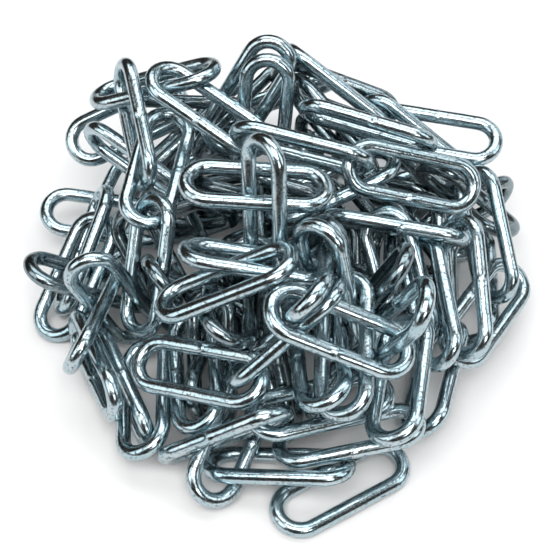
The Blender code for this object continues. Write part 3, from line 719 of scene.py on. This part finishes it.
class CHAIN_OT_hidden_links(bpy.types.Operator):
    """Replaces the frame's plain core with the links that lie inside the heap, joined as one piece"""

    bl_idname = "chain.hidden_links"
    bl_label = "Hidden links"

    def execute(self, context):
        sizes, finish = context.scene.link_sizes, context.scene.zinc_finish
        # The inner links get a copy of the plate painted darker by the Inside factor, as painted shade
        # inside the heap.
        material = zinc_plate("inner_zinc_plate", finish, finish.inside)
        pattern = model_link(sizes)
        places = inner_places([link_place(node) for node in OUTER_NODES], sizes)
        copies = [copy_link(pattern, "hidden_link", centre, axes) for centre, axes in places]
        bpy.data.objects.remove(pattern)
        make_active(copies[0])
        for made in copies:
            made.select_set(True)
        bpy.ops.object.join()
        bundle = bpy.context.object
        bundle.name = "hidden_chain_links"
        bundle.data.materials.append(material)
        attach(bundle, "root")
        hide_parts(CORE_NODE)
        return {"FINISHED"}


def add_floor(colour):
    """A pale matt disc under the heap."""
    deselect_all()
    bpy.ops.mesh.primitive_circle_add(
        vertices=FLOOR_SIDES, radius=FLOOR_RADIUS, fill_type="NGON", location=(0, 0, 0)
    )
    floor = bpy.context.object
    floor.name = "studio_floor"
    floor.data.materials.append(matt_sheet(colour))


def add_backdrop():
    """A white surround behind the floor, which gives no light and shows in no reflection."""
    deselect_all()
    bpy.ops.mesh.primitive_uv_sphere_add(
        segments=2 * SURROUND_RINGS, ring_count=SURROUND_RINGS, radius=SURROUND_RADIUS
    )
    backdrop = bpy.context.object
    backdrop.name = "studio_backdrop"
    backdrop.data.materials.append(white_surround())
    backdrop.visible_diffuse = False
    backdrop.visible_glossy = False
    backdrop.visible_transmission = False
    backdrop.visible_shadow = False


def aim(thing, place, target):
    """Puts a light or the camera at a place and points it at a target."""
    thing.location = Vector(place)
    thing.rotation_euler = (Vector(target) - Vector(place)).to_track_quat("-Z", "Y").to_euler()


def add_panel(name, place, size, power, colour):
    """A large soft area light, aimed at the heap."""
    data = bpy.data.lights.new(name, "AREA")
    data.shape = "RECTANGLE"
    data.size, data.size_y = size
    data.energy = power
    data.color = linear(colour)[:3]
    lamp = bpy.data.objects.new(name, data)
    bpy.context.scene.collection.objects.link(lamp)
    lamp.visible_camera = False
    aim(lamp, place, (0, 0, TARGET_HEIGHT))


def add_room():
    """The dim room round the lights."""
    world = bpy.data.worlds.new("studio_room")
    bpy.context.scene.world = world
    world.use_nodes = True
    tree = world.node_tree
    tree.nodes.clear()
    room = add_node(tree, "ShaderNodeBackground", Color=linear(ROOM_COLOUR), Strength=ROOM_STRENGTH)
    add_node(tree, "ShaderNodeOutputWorld", {"Surface": room.outputs["Background"]})


def add_camera():
    """The photograph's camera."""
    data = bpy.data.cameras.new("photo_camera")
    data.sensor_width = SENSOR_WIDTH
    data.lens = VIEW_FOCUS_PX / PHOTO_WIDTH_PX * SENSOR_WIDTH
    data.shift_x = (PHOTO_WIDTH_PX / 2 - VIEW_CENTRE_PX[0]) / PHOTO_WIDTH_PX
    data.shift_y = (VIEW_CENTRE_PX[1] - PHOTO_WIDTH_PX / 2) / PHOTO_WIDTH_PX
    data.clip_start = CLIP_START
    camera = bpy.data.objects.new("photo_camera", data)
    bpy.context.scene.collection.objects.link(camera)
    eye = view_eye()
    aim(camera, eye, eye + view_axes()[2])
    bpy.context.scene.camera = camera


class CHAIN_OT_studio(bpy.types.Operator):
    """Adds the pale floor, the soft studio light and the camera of the photograph"""

    bl_idname = "chain.studio"
    bl_label = "Studio"

    def execute(self, context):
        look = context.scene.studio_look
        add_floor(look.floor)
        add_backdrop()
        for name, (place, size, share, colour) in PANELS.items():
            add_panel(name, place, size, look.power * share, colour)
        add_room()
        add_camera()
        context.scene.view_settings.view_transform = "Standard"
        return {"FINISHED"}


class CHAIN_PT_heap(bpy.types.Panel):
    """Lists the settings and the steps"""

    bl_label = "Chain heap"
    bl_idname = "CHAIN_PT_heap"
    bl_space_type = "VIEW_3D"
    bl_region_type = "UI"
    bl_category = "Chain heap"

    def draw(self, context):
        layout = self.layout
        for group in (context.scene.link_sizes, context.scene.zinc_finish, context.scene.studio_look):
            for name in group.__annotations__:
                layout.prop(group, name)
        for operator in STEPS:
            layout.operator(operator.bl_idname)


GROUPS = {"link_sizes": LinkSizes, "zinc_finish": ZincFinish, "studio_look": StudioLook}
STEPS = (CHAIN_OT_links, CHAIN_OT_hidden_links, CHAIN_OT_studio)


def register():
    """Registers the classes and gives the scene its settings."""
    for kind in (*GROUPS.values(), *STEPS, CHAIN_PT_heap):
        bpy.utils.register_class(kind)
    for name, group in GROUPS.items():
        setattr(bpy.types.Scene, name, PointerProperty(type=group))


def unregister():
    """Takes the settings and the classes away again."""
    for name in GROUPS:
        delattr(bpy.types.Scene, name)
    for kind in (CHAIN_PT_heap, *reversed(STEPS), *reversed(GROUPS.values())):
        bpy.utils.unregister_class(kind)


def main():
    """Makes every piece and the studio."""
    register()
    bpy.ops.chain.links()
    bpy.ops.chain.hidden_links()
    bpy.ops.chain.studio()


if __name__ == "__main__":
    main()
